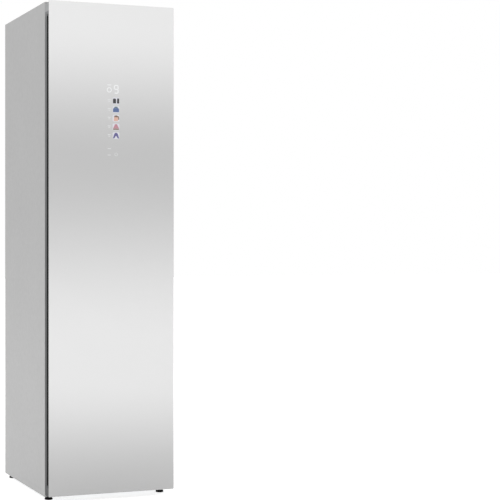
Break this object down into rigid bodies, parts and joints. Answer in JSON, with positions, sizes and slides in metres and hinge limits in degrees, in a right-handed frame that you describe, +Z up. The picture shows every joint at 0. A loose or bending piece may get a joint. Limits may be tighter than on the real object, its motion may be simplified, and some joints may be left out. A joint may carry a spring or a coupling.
{
  "type": "clothes care steam cabinet",
  "caption": "Tall slim garment steam cabinet with a full-height glass door, a chamber with a shaking hanger bar, and a machine room with heat pump, steamer and water tanks.",
  "frame": {"origin": "on the floor under the middle of the cabinet's box", "axes": "+Z up, the door faces -Y, +X to the right as seen from the front"},
  "size_m": [0.495, 0.62, 1.85],
  "materials": {
    "side_paint": "matt powder coat",
    "galvanised_steel": "galvanised sheet",
    "zinc_screw": "zinc plated",
    "frame_paint": "satin paint",
    "pin_steel": "ground steel",
    "bush_plastic": "acetal",
    "tinted_glass": "back-printed silver glass, gloss",
    "profile_aluminium": "dark anodised",
    "cap_plastic": "fine grain",
    "liner_plastic": "satin",
    "foam": "foamed core",
    "gasket_rubber": "soft extrusion",
    "circuit_board": "board with parts",
    "felt": "felt",
    "trim_plastic": "fine grain",
    "shelf_plastic": "satin",
    "lamp_lens": "frosted",
    "carriage_aluminium": "machined",
    "bar_steel": "brushed",
    "pulley_plastic": "moulded",
    "motor_steel": "zinc plated",
    "belt_rubber": "flat belt",
    "black_plastic": "moulded",
    "dark_liner_plastic": "satin",
    "tank_plastic": "clear grey",
    "lid_plastic": "fine grain",
    "duct_plastic": "moulded",
    "coil_aluminium": "mill finish",
    "compressor_paint": "satin black paint",
    "copper": "drawn copper",
    "boiler_aluminium": "die cast",
    "hose_rubber": "silicone",
    "foot_plastic": "moulded",
    "hanger_plastic": "soft touch"
  },
  "bodies": {
    "cabinet": {"side_panel_left": "side_paint", "side_panel_right": "side_paint", "top_panel": "side_paint", "rear_panel": "galvanised_steel", "case_screws": "zinc_screw", "front_frame": "frame_paint", "base_frame": "galvanised_steel", "hinge_brackets": "frame_paint", "hinge_pins": "pin_steel", "chamber_liner": "liner_plastic", "insulation_pads": "felt", "chamber_floor": "liner_plastic", "air_outlet_grille": "trim_plastic", "steam_nozzle": "trim_plastic", "chamber_lamp": "lamp_lens", "drive_plate": "galvanised_steel", "guide_rods": "pin_steel", "shaker_motor": "motor_steel", "drive_belt": "belt_rubber", "control_box": "black_plastic", "tank_bay": "dark_liner_plastic", "air_duct": "duct_plastic", "evaporator_coil": "coil_aluminium", "condenser_coil": "coil_aluminium", "blower_housing": "duct_plastic", "blower_motor": "motor_steel", "compressor": "compressor_paint", "refrigerant_pipes": "copper", "steam_generator": "boiler_aluminium", "water_pumps": "black_plastic", "water_hoses": "hose_rubber", "mains_gland": "black_plastic"},
    "door": {"door_glass": "tinted_glass", "door_grip_profile": "profile_aluminium", "door_hinge_profile": "profile_aluminium", "door_cap_top": "cap_plastic", "door_cap_bottom": "cap_plastic", "door_liner": "liner_plastic", "door_foam": "foam", "door_gasket": "gasket_rubber", "touch_board": "circuit_board", "hinge_bushes": "bush_plastic"},
    "carriage": {"hanger_carriage": "carriage_aluminium", "hanger_bar": "bar_steel"},
    "crank": {"crank_pulley": "pulley_plastic"},
    "motor_rotor": {"motor_pulley": "pulley_plastic"},
    "blower_rotor": {"blower_wheel": "black_plastic"},
    "supply_tank": {"supply_tank": "tank_plastic", "supply_tank_lid": "lid_plastic"},
    "drain_tank": {"drain_tank": "tank_plastic", "drain_tank_lid": "lid_plastic"},
    "filter": {"lint_filter": "trim_plastic"},
    "shelf": {"shelf": "shelf_plastic"},
    "hanger_1": {"hanger_1": "hanger_plastic"},
    "hanger_2": {"hanger_2": "hanger_plastic"},
    "hanger_3": {"hanger_3": "hanger_plastic"},
    "foot_front_left": {"foot_front_left": "foot_plastic"},
    "foot_front_right": {"foot_front_right": "foot_plastic"},
    "foot_rear_left": {"foot_rear_left": "foot_plastic"},
    "foot_rear_right": {"foot_rear_right": "foot_plastic"}
  },
  "joints": [
    {"name": "door_swing", "type": "hinge", "parent": "cabinet", "child": "door", "pos_m": [0.2355, -0.286, 0], "axis": [0, 0, 1], "range_deg": [0, 110]},
    {"name": "hanger_bar_shake", "type": "slide", "parent": "cabinet", "child": "carriage", "axis": [1, 0, 0], "range_m": [-0.014, 0.014]},
    {"name": "crank_spin", "type": "hinge", "parent": "cabinet", "child": "crank", "pos_m": [0, 0.141, 1.78], "axis": [0, 0, 1], "continuous": true},
    {"name": "motor_spin", "type": "hinge", "parent": "cabinet", "child": "motor_rotor", "pos_m": [-0.15, 0.156, 1.78], "axis": [0, 0, 1], "continuous": true},
    {"name": "blower_spin", "type": "hinge", "parent": "cabinet", "child": "blower_rotor", "pos_m": [-0.06, 0.19, 0.322], "axis": [0, 1, 0], "continuous": true},
    {"name": "supply_tank_slide", "type": "slide", "parent": "cabinet", "child": "supply_tank", "axis": [0, -1, 0], "range_m": [0, 0.026]},
    {"name": "drain_tank_slide", "type": "slide", "parent": "cabinet", "child": "drain_tank", "axis": [0, -1, 0], "range_m": [0, 0.026]},
    {"name": "filter_lift", "type": "slide", "parent": "cabinet", "child": "filter", "axis": [0, 0, 1], "range_m": [0, 0.16]},
    {"name": "shelf_lift", "type": "slide", "parent": "cabinet", "child": "shelf", "axis": [0, 0, 1], "range_m": [0, 0.2]},
    {"name": "hanger_1_swing", "type": "hinge", "parent": "carriage", "child": "hanger_1", "pos_m": [-0.11, 0.006, 1.64], "axis": [1, 0, 0], "range_deg": [-20, 20]},
    {"name": "hanger_2_swing", "type": "hinge", "parent": "carriage", "child": "hanger_2", "pos_m": [0, 0.006, 1.64], "axis": [1, 0, 0], "range_deg": [-20, 20]},
    {"name": "hanger_3_swing", "type": "hinge", "parent": "carriage", "child": "hanger_3", "pos_m": [0.11, 0.006, 1.64], "axis": [1, 0, 0], "range_deg": [-20, 20]},
    {"name": "foot_front_left_screw", "type": "slide", "parent": "cabinet", "child": "foot_front_left", "axis": [0, 0, -1], "range_m": [-0.008, 0.01]},
    {"name": "foot_front_right_screw", "type": "slide", "parent": "cabinet", "child": "foot_front_right", "axis": [0, 0, -1], "range_m": [-0.008, 0.01]},
    {"name": "foot_rear_left_screw", "type": "slide", "parent": "cabinet", "child": "foot_rear_left", "axis": [0, 0, -1], "range_m": [-0.008, 0.01]},
    {"name": "foot_rear_right_screw", "type": "slide", "parent": "cabinet", "child": "foot_rear_right", "axis": [0, 0, -1], "range_m": [-0.008, 0.01]}
  ],
  "couplings": [
    {"joint": "motor_spin", "follows": "crank_spin", "ratio": 2.9653}
  ]
}
